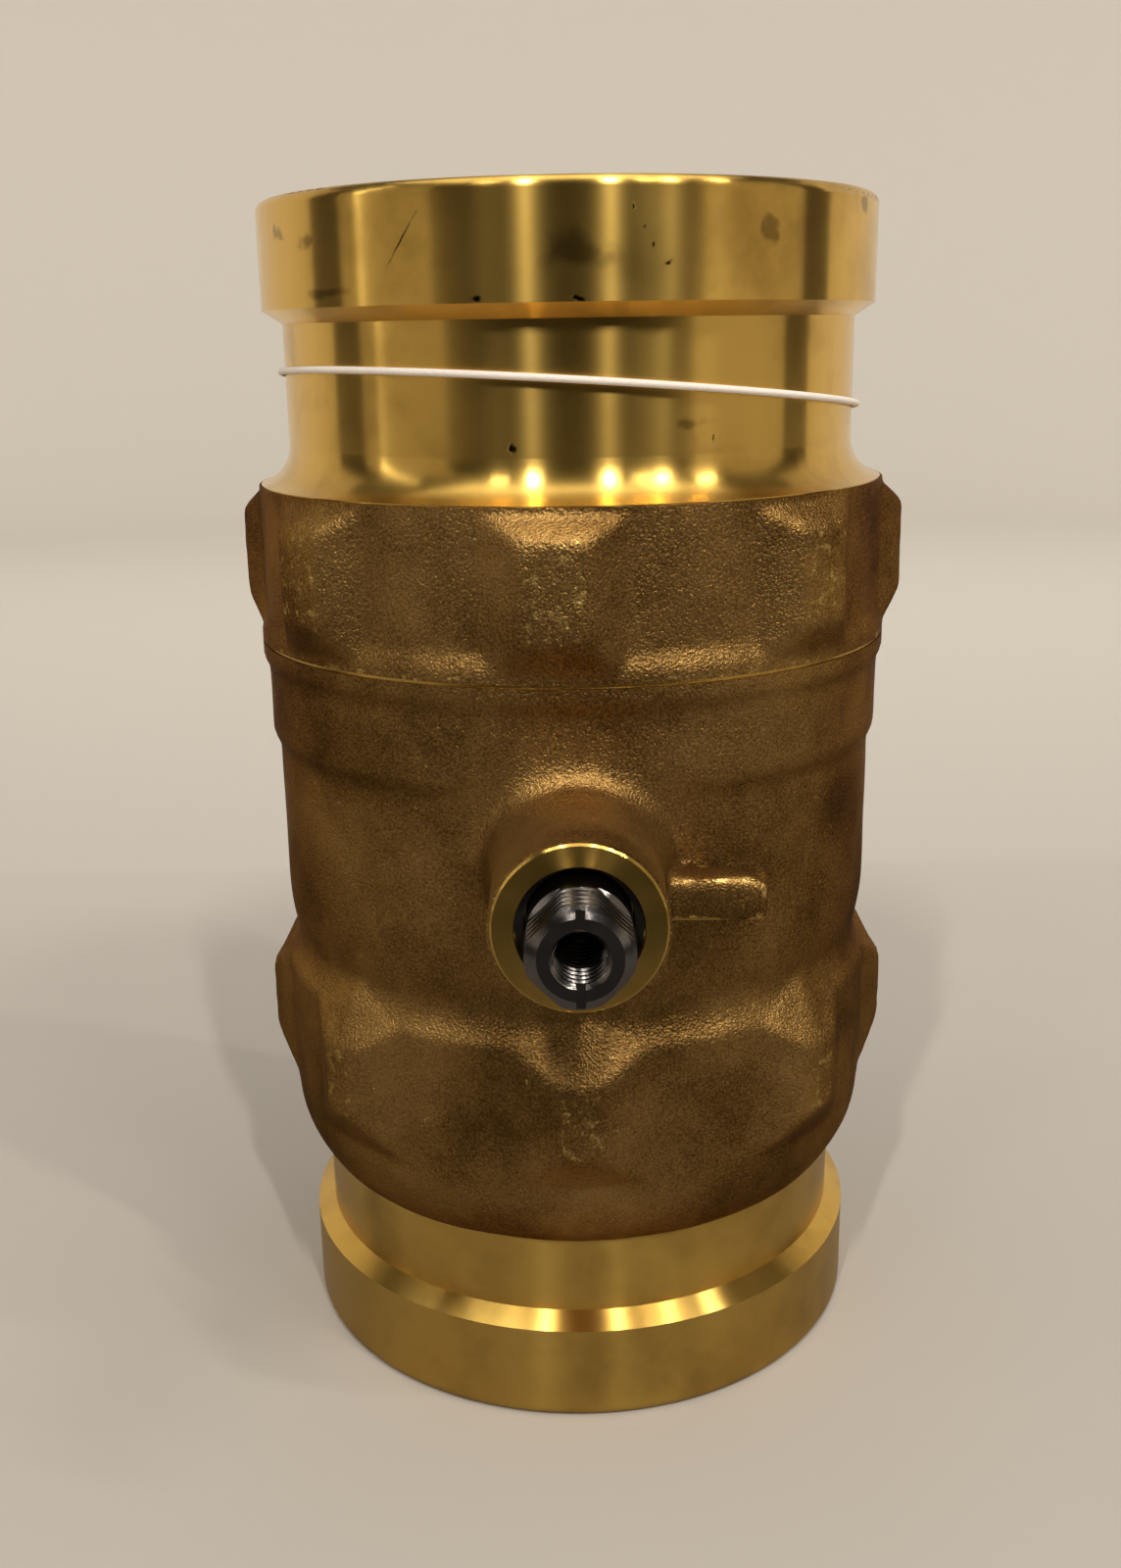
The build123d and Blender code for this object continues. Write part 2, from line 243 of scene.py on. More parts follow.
@dataclass(frozen=True)
class Finish:
    """A surface finish, drawn as one material."""

    name: str

    def begin(self) -> tuple[bpy.types.Material, bpy.types.NodeTree, bpy.types.Node, bpy.types.NodeSocket]:
        """Start a material.

        Returns:
            The material, its tree, its surface shader and its Object coordinates.
        """
        material = bpy.data.materials.new(self.name)
        material.use_nodes = True
        tree = material.node_tree
        shader = tree.nodes["Principled BSDF"]
        coordinates = add_node(tree, "ShaderNodeTexCoord").outputs["Object"]
        return material, tree, shader, coordinates

    def material(self) -> bpy.types.Material:
        """Draw the finish; each kind of finish has its own way.

        Returns:
            The new material.
        """
        raise NotImplementedError


@dataclass(frozen=True)
class TurnedBrass(Finish):
    """Bronze alloy turned on a lathe: bright yellow metal, whose rings draw lights out into upright streaks.

    The rings are drawn coarser than a lathe leaves them, so that they show.
    """

    bright: str = "#e8bf62"
    film: str = "#a7833c"
    stain: str = "#765c2c"
    nick: str = "#33260f"
    ring_pitch_mm: float = 0.35
    ring_run_mm: float = 50.0
    ring_depth_mm: float = 0.03
    ring_bump: float = 0.12
    film_mm: float = 16.0
    film_share: float = 0.55
    stain_share: float = 0.65
    nick_depth: float = 6.0
    mark_wobble: float = 2.4
    wobble_size: float = 1.1
    mark_edge: tuple[float, float] = (1.5, 2.1)
    roughness: float = 0.235
    smoother: float = 0.025
    rougher: float = 0.02
    stem_z: float = 91.997
    boss_reach: float = 71.0

    def marks(
        self,
        tree: bpy.types.NodeTree,
        coordinates: bpy.types.NodeSocket,
        marks: tuple[Mark, ...],
    ) -> bpy.types.NodeSocket:
        """Mask of a set of ovals with uneven edges.

        Args:
            tree: node tree that takes the nodes.
            coordinates: Object coordinates.
            marks: the ovals.

        Returns:
            Socket that is 1 in the ovals and 0 outside.
        """
        total: Any = 0.0
        for mark in marks:
            wobble = add_node(tree, "ShaderNodeTexNoise", None, {
                "Vector": coordinates, "Scale": per_mm(self.wobble_size * mark.half_width), "Detail": 4.0})
            local = add_node(tree, "ShaderNodeMapping", {"vector_type": "TEXTURE"}, {
                "Vector": coordinates, **mark.mapping()})
            away = add_node(tree, "ShaderNodeVectorMath", {"operation": "LENGTH"}, {
                0: local.outputs["Vector"]})
            edge = add_node(tree, "ShaderNodeMath", {"operation": "MULTIPLY_ADD"}, {
                0: wobble.outputs[0], 1: self.mark_wobble, 2: away.outputs["Value"]})
            inside = add_node(tree, "ShaderNodeMapRange", {"interpolation_type": "SMOOTHSTEP"}, {
                "Value": edge.outputs[0], "From Min": self.mark_edge[0], "From Max": self.mark_edge[1],
                "To Min": 1.0, "To Max": 0.0})
            total = add_node(tree, "ShaderNodeMath", {"operation": "MAXIMUM"}, {
                0: inside.outputs["Result"], 1: total}).outputs[0]
        return total

    def material(self) -> bpy.types.Material:
        """Draw the turned metal with its rings, tarnish film, stains and nicks.

        Returns:
            The new material.
        """
        material, tree, shader, coordinates = self.begin()
        run = per_mm(self.ring_run_mm)
        rings = add_node(tree, "ShaderNodeMapping", None, {
            "Vector": coordinates, "Scale": (run, run, per_mm(self.ring_pitch_mm))})
        turning = add_node(tree, "ShaderNodeTexNoise", None, {
            "Vector": rings.outputs["Vector"], "Scale": 1.0, "Detail": 3.0})
        film = add_node(tree, "ShaderNodeTexNoise", None, {
            "Vector": coordinates, "Scale": per_mm(self.film_mm), "Detail": 6.0, "Roughness": 0.62})
        cover = add_node(tree, "ShaderNodeMapRange", None, {
            "Value": film.outputs[0], "From Min": 0.46, "From Max": 0.68, "To Max": self.film_share})
        metal = add_node(tree, "ShaderNodeMix", {"data_type": "RGBA"}, {
            0: cover.outputs["Result"], 6: linear(self.bright), 7: linear(self.film)})
        stains = self.marks(tree, coordinates, STAINS)
        faint = add_node(tree, "ShaderNodeMath", {"operation": "MULTIPLY"}, {
            0: stains, 1: self.stain_share})
        stained = add_node(tree, "ShaderNodeMix", {"data_type": "RGBA"}, {
            0: faint.outputs[0], 6: metal.outputs[2], 7: linear(self.stain)})
        nicks = self.marks(tree, coordinates, NICKS)
        nicked = add_node(tree, "ShaderNodeMix", {"data_type": "RGBA"}, {
            0: nicks, 6: stained.outputs[2], 7: linear(self.nick)})
        tree.links.new(nicked.outputs[2], shader.inputs["Base Color"])
        uneven = add_node(tree, "ShaderNodeMapRange", None, {
            "Value": film.outputs[0], "From Min": 0.3, "From Max": 0.75,
            "To Min": self.roughness - self.smoother, "To Max": self.roughness + self.rougher})
        tree.links.new(uneven.outputs["Result"], shader.inputs["Roughness"])
        dents = add_node(tree, "ShaderNodeMath", {"operation": "MULTIPLY_ADD"}, {
            0: nicks, 1: -self.nick_depth, 2: turning.outputs[0]})
        bump = add_node(tree, "ShaderNodeBump", None, {
            "Height": dents.outputs[0], "Strength": self.ring_bump, "Distance": self.ring_depth_mm * MM})
        tree.links.new(bump.outputs["Normal"], shader.inputs["Normal"])
        tree.links.new(self.across_rings(tree, coordinates), shader.inputs["Tangent"])
        shader.inputs["Metallic"].default_value = 1.0
        shader.inputs["Anisotropic"].default_value = 1.0
        return material

    def across_rings(
        self,
        tree: bpy.types.NodeTree,
        coordinates: bpy.types.NodeSocket,
    ) -> bpy.types.NodeSocket:
        """Direction on the surface that crosses the tool's rings, outwards on the boss and upright elsewhere.

        Args:
            tree: node tree that takes the nodes.
            coordinates: Object coordinates.

        Returns:
            Socket of the direction.
        """
        parts = add_node(tree, "ShaderNodeSeparateXYZ", None, {0: coordinates})
        on_boss = add_node(tree, "ShaderNodeMath", {"operation": "LESS_THAN"}, {
            0: parts.outputs["Y"], 1: -self.boss_reach * MM})
        axis = add_node(tree, "ShaderNodeMix", {"data_type": "VECTOR"}, {
            0: on_boss.outputs[0], 4: (0.0, 0.0, 1.0), 5: (0.0, 1.0, 0.0)})
        from_stem = add_node(tree, "ShaderNodeVectorMath", {"operation": "SUBTRACT"}, {
            0: coordinates, 1: (0.0, 0.0, self.stem_z * MM)})
        ring = add_node(tree, "ShaderNodeVectorMath", {"operation": "CROSS_PRODUCT"}, {
            0: axis.outputs[1], 1: from_stem.outputs["Vector"]})
        facing = add_node(tree, "ShaderNodeNewGeometry")
        across = add_node(tree, "ShaderNodeVectorMath", {"operation": "CROSS_PRODUCT"}, {
            0: facing.outputs["Normal"], 1: ring.outputs["Vector"]})
        return across.outputs["Vector"]


@dataclass(frozen=True)
class CastBronze(Finish):
    """Sand-cast bronze: dull brown skin with a fine sand grain that glitters, worn to gold on its edges."""

    skin: str = "#ac864d"
    deep: str = "#634824"
    glance: str = "#75613c"
    worn: str = "#e0bd72"
    grain_mm: float = 0.38
    grain_depth_mm: float = 0.22
    grain_share: float = 0.7
    tone_range: tuple[float, float] = (0.66, 1.06)
    rub_mm: float = 2.2
    rub_range: tuple[float, float] = (0.44, 0.60)
    fleck_mm: float = 1.5
    fleck_range: tuple[float, float] = (0.71, 0.79)
    fleck_share: float = 0.7
    pit_mm: float = 2.2
    pit_reach: float = 0.22
    pit_depth: float = 0.3
    cloud_mm: float = 24.0
    roughness: float = 0.38
    worn_roughness: float = 0.34
    metallic: float = 0.9

    def material(self) -> bpy.types.Material:
        """Draw the cast skin with its clouds, grain, pits and worn edges.

        Returns:
            The new material.
        """
        material, tree, shader, coordinates = self.begin()
        clouds = add_node(tree, "ShaderNodeTexNoise", None, {
            "Vector": coordinates, "Scale": per_mm(self.cloud_mm), "Detail": 5.0, "Roughness": 0.6})
        grain = add_node(tree, "ShaderNodeTexNoise", None, {
            "Vector": coordinates, "Scale": per_mm(self.grain_mm), "Detail": 2.0, "Roughness": 0.55})
        pits = add_node(tree, "ShaderNodeTexVoronoi", {"feature": "F1"}, {
            "Vector": coordinates, "Scale": per_mm(self.pit_mm), "Randomness": 1.0})
        sandy = add_node(tree, "ShaderNodeMath", {"operation": "MULTIPLY_ADD"}, {
            0: grain.outputs[0], 1: self.grain_share, 2: clouds.outputs[0]})
        tone = add_node(tree, "ShaderNodeMapRange", None, {
            "Value": sandy.outputs[0], "From Min": self.tone_range[0], "From Max": self.tone_range[1]})
        brown = add_node(tree, "ShaderNodeMix", {"data_type": "RGBA"}, {
            0: tone.outputs["Result"], 6: linear(self.deep), 7: linear(self.skin)})
        edge = add_node(tree, "ShaderNodeAttribute", {"attribute_name": "edge_wear"})
        rub = add_node(tree, "ShaderNodeTexNoise", None, {
            "Vector": coordinates, "Scale": per_mm(self.rub_mm), "Detail": 5.0, "Roughness": 0.75})
        worn = add_node(tree, "ShaderNodeMath", {"operation": "MULTIPLY"}, {
            0: edge.outputs["Fac"], 1: rub.outputs[0]})
        bare = add_node(tree, "ShaderNodeMapRange", {"interpolation_type": "SMOOTHSTEP"}, {
            "Value": worn.outputs[0], "From Min": self.rub_range[0], "From Max": self.rub_range[1]})
        scrape = add_node(tree, "ShaderNodeTexNoise", None, {
            "Vector": coordinates, "Scale": per_mm(self.fleck_mm), "Detail": 2.0, "Distortion": 1.5})
        flecks = add_node(tree, "ShaderNodeMapRange", {"interpolation_type": "SMOOTHSTEP"}, {
            "Value": scrape.outputs[0], "From Min": self.fleck_range[0], "From Max": self.fleck_range[1],
            "To Max": self.fleck_share})
        rubbed = add_node(tree, "ShaderNodeMath", {"operation": "MAXIMUM"}, {
            0: bare.outputs["Result"], 1: flecks.outputs["Result"]})
        colour = add_node(tree, "ShaderNodeMix", {"data_type": "RGBA"}, {
            0: rubbed.outputs[0], 6: brown.outputs[2], 7: linear(self.worn)})
        tree.links.new(colour.outputs[2], shader.inputs["Base Color"])
        gloss = add_node(tree, "ShaderNodeMapRange", None, {
            "Value": rubbed.outputs[0], "To Min": self.roughness, "To Max": self.worn_roughness})
        tree.links.new(gloss.outputs["Result"], shader.inputs["Roughness"])
        pitted = add_node(tree, "ShaderNodeMapRange", {"interpolation_type": "SMOOTHSTEP"}, {
            "Value": pits.outputs["Distance"], "From Max": self.pit_reach,
            "To Min": -self.pit_depth, "To Max": 0.0})
        height = add_node(tree, "ShaderNodeMath", {"operation": "ADD"}, {
            0: grain.outputs[0], 1: pitted.outputs["Result"]})
        bump = add_node(tree, "ShaderNodeBump", None, {
            "Height": height.outputs[0], "Strength": 1.0, "Distance": self.grain_depth_mm * MM})
        tree.links.new(bump.outputs["Normal"], shader.inputs["Normal"])
        shader.inputs["Metallic"].default_value = self.metallic
        shader.inputs["Specular Tint"].default_value = linear(self.glance)
        return material


@dataclass(frozen=True)
class PlainFinish(Finish):
    """A finish with one colour family, a soft mottle and a fine bump."""

    light: str
    dark: str
    metallic: float
    roughness: float
    mottle_mm: float
    grain_mm: float
    bump_mm: float
    stretch: tuple[float, float, float] = (1.0, 1.0, 1.0)
    gloss_spread: float = 0.15
    bump_strength: float = 0.5

    def material(self) -> bpy.types.Material:
        """Draw the mottled colour, uneven gloss and bump.

        Returns:
            The new material.
        """
        material, tree, shader, coordinates = self.begin()
        mottle = add_node(tree, "ShaderNodeTexNoise", None, {
            "Vector": coordinates, "Scale": per_mm(self.mottle_mm), "Detail": 4.0})
        colour = add_node(tree, "ShaderNodeMix", {"data_type": "RGBA"}, {
            0: mottle.outputs[0], 6: linear(self.dark), 7: linear(self.light)})
        tree.links.new(colour.outputs[2], shader.inputs["Base Color"])
        gloss = add_node(tree, "ShaderNodeMapRange", None, {
            "Value": mottle.outputs[0], "From Min": 0.3, "From Max": 0.7,
            "To Min": self.roughness * (1.0 - self.gloss_spread),
            "To Max": self.roughness * (1.0 + self.gloss_spread)})
        tree.links.new(gloss.outputs["Result"], shader.inputs["Roughness"])
        drawn = add_node(tree, "ShaderNodeMapping", None, {"Vector": coordinates, "Scale": self.stretch})
        grain = add_node(tree, "ShaderNodeTexNoise", None, {
            "Vector": drawn.outputs["Vector"], "Scale": per_mm(self.grain_mm), "Detail": 2.0})
        bump = add_node(tree, "ShaderNodeBump", None, {
            "Height": grain.outputs[0], "Strength": self.bump_strength, "Distance": self.bump_mm * MM})
        tree.links.new(bump.outputs["Normal"], shader.inputs["Normal"])
        shader.inputs["Metallic"].default_value = self.metallic
        return material


@dataclass(frozen=True)
class GradedPaper(Finish):
    """Matt paper that runs from pale grey in front to paler behind, so that the valve stands out from it."""

    near: str = "#aaa49c"
    far: str = "#d8d2c9"
    near_y: float = -0.10
    far_y: float = 0.9
    roughness: float = 0.7

    def material(self) -> bpy.types.Material:
        """Draw the paper's grade.

        Returns:
            The new material.
        """
        material, tree, shader, coordinates = self.begin()
        parts = add_node(tree, "ShaderNodeSeparateXYZ", None, {0: coordinates})
        grade = add_node(tree, "ShaderNodeMapRange", {"interpolation_type": "SMOOTHSTEP"}, {
            "Value": parts.outputs["Y"], "From Min": self.near_y, "From Max": self.far_y})
        colour = add_node(tree, "ShaderNodeMix", {"data_type": "RGBA"}, {
            0: grade.outputs["Result"], 6: linear(self.near), 7: linear(self.far)})
        tree.links.new(colour.outputs[2], shader.inputs["Base Color"])
        shader.inputs["Roughness"].default_value = self.roughness
        return material


class Trim(Enum):
    """Finishes of the smaller pieces, named for what they are made of."""

    # Machined and blackened: dark faces with sharp lights on the threads.
    STEM_STEEL = PlainFinish("blackened_machined_steel", "#8a8581", "#5d5856", 1.0, 0.17, 5.0, 0.3, 0.02,
                             (1.0, 6.0, 1.0))
    # Polished and plated: a clear, cool mirror.
    PLATED_BALL = PlainFinish("polished_chrome_plate", "#d5d5d8", "#c6c6ca", 1.0, 0.07, 20.0, 1.5, 0.002)
    # Stamped from strip: grey metal with a soft sheen.
    GRIP_STEEL = PlainFinish("stamped_stainless_steel", "#c4c2bf", "#a3a09c", 1.0, 0.34, 4.0, 0.25, 0.01)
    # Pressed and turned: waxy off-white.
    SEAT_POLYMER = PlainFinish("filled_ptfe", "#e8e3d9", "#d8d1c4", 0.0, 0.45, 6.0, 0.4, 0.01)
    # Moulded rubber: black with a dull sheen.
    SEAL_RUBBER = PlainFinish("black_epdm_rubber", "#1d1c1c", "#111010", 0.0, 0.55, 4.0, 0.3, 0.02)
    # Moulded nylon: black with a faint gloss.
    SEPARATOR = PlainFinish("moulded_black_nylon", "#232325", "#17171a", 0.0, 0.4, 5.0, 0.4, 0.01)
    # Woven cover: matt white with a fine rib.
    ELASTIC = PlainFinish("white_covered_elastic", "#efe8e2", "#d9cfc6", 0.0, 0.8, 0.5, 0.3, 0.12)
    # Matt cloth on the cards: flat grey and near black.
    GREY_CLOTH = PlainFinish("grey_cloth", "#75706a", "#69645f", 0.0, 0.9, 60.0, 2.0, 0.02)
    DARK_CLOTH = PlainFinish("dark_cloth", "#25221f", "#1e1b19", 0.0, 0.9, 60.0, 2.0, 0.02)


NODE_TRIM = {
    "ball": Trim.PLATED_BALL,
    "lower_seat": Trim.SEAT_POLYMER,
    "upper_seat": Trim.SEAT_POLYMER,
    "thrust_washer": Trim.SEAT_POLYMER,
    "body_seal": Trim.SEAL_RUBBER,
    "inner_stem_ring": Trim.SEAL_RUBBER,
    "outer_stem_ring": Trim.SEAL_RUBBER,
    "dust_ring": Trim.SEAL_RUBBER,
    "lower_sealing_ring": Trim.SEAL_RUBBER,
    "upper_sealing_ring": Trim.SEAL_RUBBER,
    "lower_separator_ring": Trim.SEPARATOR,
    "upper_separator_ring": Trim.SEPARATOR,
    "lower_grip_ring": Trim.GRIP_STEEL,
    "upper_grip_ring": Trim.GRIP_STEEL,
    "tag_elastic": Trim.ELASTIC,
}


@dataclass(frozen=True)
class LugRing:
    """A ring of cast lugs with blunt faces.

    The clock is in degrees, heights, halves and radii are in mm, and slopes in mm of height per mm out.
    """

    clock: float
    face_half: float
    top: float
    top_slope: float
    foot: float
    foot_r: float
    foot_slope: float = 1.76
    count: int = 8
    root_r: float = 49.2
    height: float = 3.45
    root_half: float = 9.9
    worn_depth: float = 1.1

    def reach(self, place: Vector) -> float:
        """Radius out to which the nearest lug stands.

        Args:
            place: where to look, in mm.

        Returns:
            The radius in mm.
        """
        step = math.tau / self.count
        turn = math.atan2(place.x, -place.y) - math.radians(self.clock)
        across = abs(place.xy.length * math.sin(turn - step * round(turn / step)))
        rise = min(1.0, (self.root_half - across) / (self.root_half - self.face_half))
        top_r = self.root_r + (self.top - place.z) / self.top_slope
        foot_r = self.foot_r + (place.z - self.foot) / self.foot_slope
        return min(self.root_r + self.height * rise, top_r, foot_r)

    def on_face(self, place: Vector) -> float:
        """How far a place is on a lug's face.

        Args:
            place: where to look, in mm.

        Returns:
            1 on the face, 0 well below it or beyond its ends.
        """
        if not self.foot < place.z < self.top:
            return 0.0
        face_r = self.root_r + self.height
        return max(0.0, min(1.0, 1.0 + (place.xy.length - face_r) / self.worn_depth))


@dataclass
class CastSkin:
    """As-cast outer skin of one casting: a thin closed shell that lies on it and stops at the turned ends.

    Sizes and heights are in mm.
    """

    node: str
    low: float
    high: float
    boss_end: float
    lugs: LugRing
    worn_foot: float = 0.0
    voxel: float = 0.85
    bulge_share: float = 0.5
    softening: int = 2
    root_softening: int = 24
    softening_step: float = 0.5
    root_band: tuple[float, float] = (12.4, 20.5)
    stem_z: float = 91.997
    tab_half: float = 6.0
    proud: float = 0.34
    swell: float = 0.12
    swell_mm: float = 8.0
    depth: float = 0.9
    edge_gain: float = 6.5
    face_wear: float = 0.87
    face_dents: float = 0.10
    dent_mm: float = 2.4
    seam_height: float = 0.32
    seam_half: float = 0.6
    seam_wave: float = 0.4
    seam_wave_mm: float = 3.0
    crease: float = 50.0

    def cut_outside(self, shape: bmesh.types.BMesh) -> None:
        """Cut the skin's ends straight and keep only its outer sheet.

        Args:
            shape: a closed remesh of the casting.
        """
        cuts = (
            (Vector((0, 0, self.low * MM)), Vector((0, 0, -1))),
            (Vector((0, 0, self.high * MM)), Vector((0, 0, 1))),
            (Vector((0, -self.boss_end * MM, 0)), Vector((0, -1, 0))),
        )
        for point, outward in cuts:
            geometry = shape.verts[:] + shape.edges[:] + shape.faces[:]
            bmesh.ops.bisect_plane(shape, geom=geometry, plane_co=point, plane_no=outward, clear_outer=True)
        outermost = max(shape.verts, key=lambda v: v.co.length_squared - v.co.z ** 2)
        kept = {outermost}
        edge_of_search = [outermost]
        while edge_of_search:
            vert = edge_of_search.pop()
            found = {e.other_vert(vert) for e in vert.link_edges} - kept
            kept |= found
            edge_of_search.extend(found)
        bmesh.ops.delete(shape, geom=[v for v in shape.verts if v not in kept], context="VERTS")

    def settle(self, shape: bmesh.types.BMesh, casting: bpy.types.Object) -> None:
        """Lay each point of the sheet on the casting, bulged between the corners of its facets.

        Args:
            shape: the outer sheet.
            casting: object of the frame node.
        """
        mesh = casting.data
        corners = [v.co.copy() for v in mesh.vertices]
        normals = [n.vector.copy() for n in mesh.corner_normals]
        facets = [tuple(f.vertices) for f in mesh.polygons]
        loops = [tuple(f.loop_indices) for f in mesh.polygons]
        tree = BVHTree.FromPolygons(corners, facets)
        for vert in shape.verts:
            spot, _, facet, _ = tree.find_nearest(vert.co)
            ends = [corners[i] for i in facets[facet]]
            bulge = Vector()
            for share, end, loop in zip(poly_3d_calc(ends, spot), ends, loops[facet]):
                bulge -= share * (spot - end).dot(normals[loop]) * normals[loop]
            vert.co = spot + self.bulge_share * bulge

    def square_lugs(self, shape: bmesh.types.BMesh) -> None:
        """Bring the sheet out to the blunt faces of the lugs.

        Args:
            shape: the outer sheet.
        """
        for vert in shape.verts:
            place = vert.co / MM
            out = self.lugs.reach(place) / place.xy.length
            if out > 1.0:
                vert.co.x *= out
                vert.co.y *= out

    def at_boss_root(self, place: Vector) -> bool:
        """Whether a place is where the boss flows into the barrel, clear of the stop tab.

        Args:
            place: where to look, in mm.

        Returns:
            True at the boss's root.
        """
        rise = place.z - self.stem_z
        if place.y > 0.0 or (place.x > 0.0 and abs(rise) < self.tab_half):
            return False
        return self.root_band[0] < math.hypot(place.x, rise) < self.root_band[1]

    def parting_line(self, place: Vector) -> float:
        """Height of the mould's parting line.

        Args:
            place: where to look, in mm.

        Returns:
            The height in mm.
        """
        across = abs(place.x) / self.seam_half
        if across >= 1.0:
            return 0.0
        wave = 1.0 - self.seam_wave + self.seam_wave * noise.noise(place / self.seam_wave_mm)
        return self.seam_height * (1.0 - across) * wave

    def weather(self, shape: bmesh.types.BMesh) -> None:
        """Lift the sheet off the casting, swell it as sand moulds do, and note where its edges wear.

        Args:
            shape: the outer sheet.
        """
        shape.normal_update()
        layer = shape.verts.layers.float.new("edge_wear")
        sharp = {}
        for vert in shape.verts:
            drops = []
            for side in vert.link_edges:
                fall = vert.co - side.other_vert(vert).co
                drops.append(vert.normal.dot(fall) / side.calc_length())
            sharp[vert] = 0.0 if vert.is_boundary else sum(drops) / len(drops)
        for vert in shape.verts:
            around = [sharp[e.other_vert(vert)] for e in vert.link_edges]
            edge = self.edge_gain * (sharp[vert] + sum(around)) / (1 + len(around))
            face = self.face_wear * self.lugs.on_face(vert.co / MM)
            foot = self.worn_foot if vert.co.z / MM < self.low + self.voxel else 0.0
            vert[layer] = min(1.0, max(0.0, edge, face, foot))
        moves = {}
        for vert in shape.verts:
            place = vert.co / MM
            dents = self.face_dents * self.lugs.on_face(place) * noise.noise(place / self.dent_mm)
            swell = self.swell * noise.noise(place / self.swell_mm)
            lift = self.proud + swell + dents + self.parting_line(place)
            moves[vert] = vert.normal * lift * MM
        for vert, move in moves.items():
            vert.co += move

    def build(self, frame: dict[str, Any]) -> bpy.types.Object:
        """Model the skin on a copy of its casting.

        Args:
            frame: the loaded frame.

        Returns:
            The finished skin.
        """
        casting = frame["nodes"][self.node]
        piece = copy_of_node(casting, self.node + "_cast_skin")
        piece.data.remesh_voxel_size = self.voxel * MM
        bpy.ops.object.voxel_remesh()
        shape = bmesh.new()
        shape.from_mesh(piece.data)
        self.cut_outside(shape)
        self.settle(shape, casting)
        self.square_lugs(shape)
        inner = [v for v in shape.verts if not v.is_boundary]
        root = [v for v in inner if self.at_boss_root(v.co / MM)]
        for verts, rounds in ((inner, self.softening), (root, self.root_softening)):
            for _ in range(rounds):
                bmesh.ops.smooth_vert(shape, verts=verts, factor=self.softening_step,
                                      use_axis_x=True, use_axis_y=True, use_axis_z=True)
        self.weather(shape)
        shape.to_mesh(piece.data)
        shape.free()
        apply_modifier(piece, "SOLIDIFY", thickness=self.depth * MM, offset=-1.0)
        select_only(piece)
        bpy.ops.object.shade_smooth_by_angle(angle=math.radians(self.crease))
        return piece


@dataclass
class Castings:
    """The valve body and tailpiece: turned brass with a cast skin. Heights and sizes are in mm.

    The valve body's skin has larger voxels than the tailpiece's, to keep its mesh small.
    """

    cast_foot: float = 30.3
    seam_gap: float = 0.25
    shoulder: float = 142.5
    boss_end: float = 72.0
    no_boss: float = 60.0
    body_voxel: float = 0.93
    seam_wear: float = 0.85

    def build(self, frame: dict[str, Any]) -> None:
        """Dress both castings.

        Args:
            frame: the loaded frame.
        """
        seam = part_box("valve_body")[1].z / MM
        brass = TurnedBrass("turned_brass").material()
        bronze = CastBronze("sand_cast_bronze").material()
        lower_lugs = LugRing(clock=0.0, face_half=3.0, top=63.997, top_slope=1.24, foot=41.8, foot_r=49.0)
        upper_lugs = LugRing(clock=-3.0, face_half=4.2, top=141.395, top_slope=0.9, foot=120.297, foot_r=50.2)
        skins = (
            CastSkin("valve_body", self.cast_foot, seam - self.seam_gap, self.boss_end, lower_lugs,
                     voxel=self.body_voxel),
            CastSkin("tailpiece", seam + self.seam_gap, self.shoulder, self.no_boss, upper_lugs,
                     worn_foot=self.seam_wear),
        )
        for skin in skins:
            casting = frame["nodes"][skin.node]
            casting.data.materials.clear()
            casting.data.materials.append(brass)
            piece = skin.build(frame)
            piece.data.materials.append(bronze)
            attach(piece, "castings")
            LOG.info("%s: %d faces", piece.name, len(piece.data.polygons))


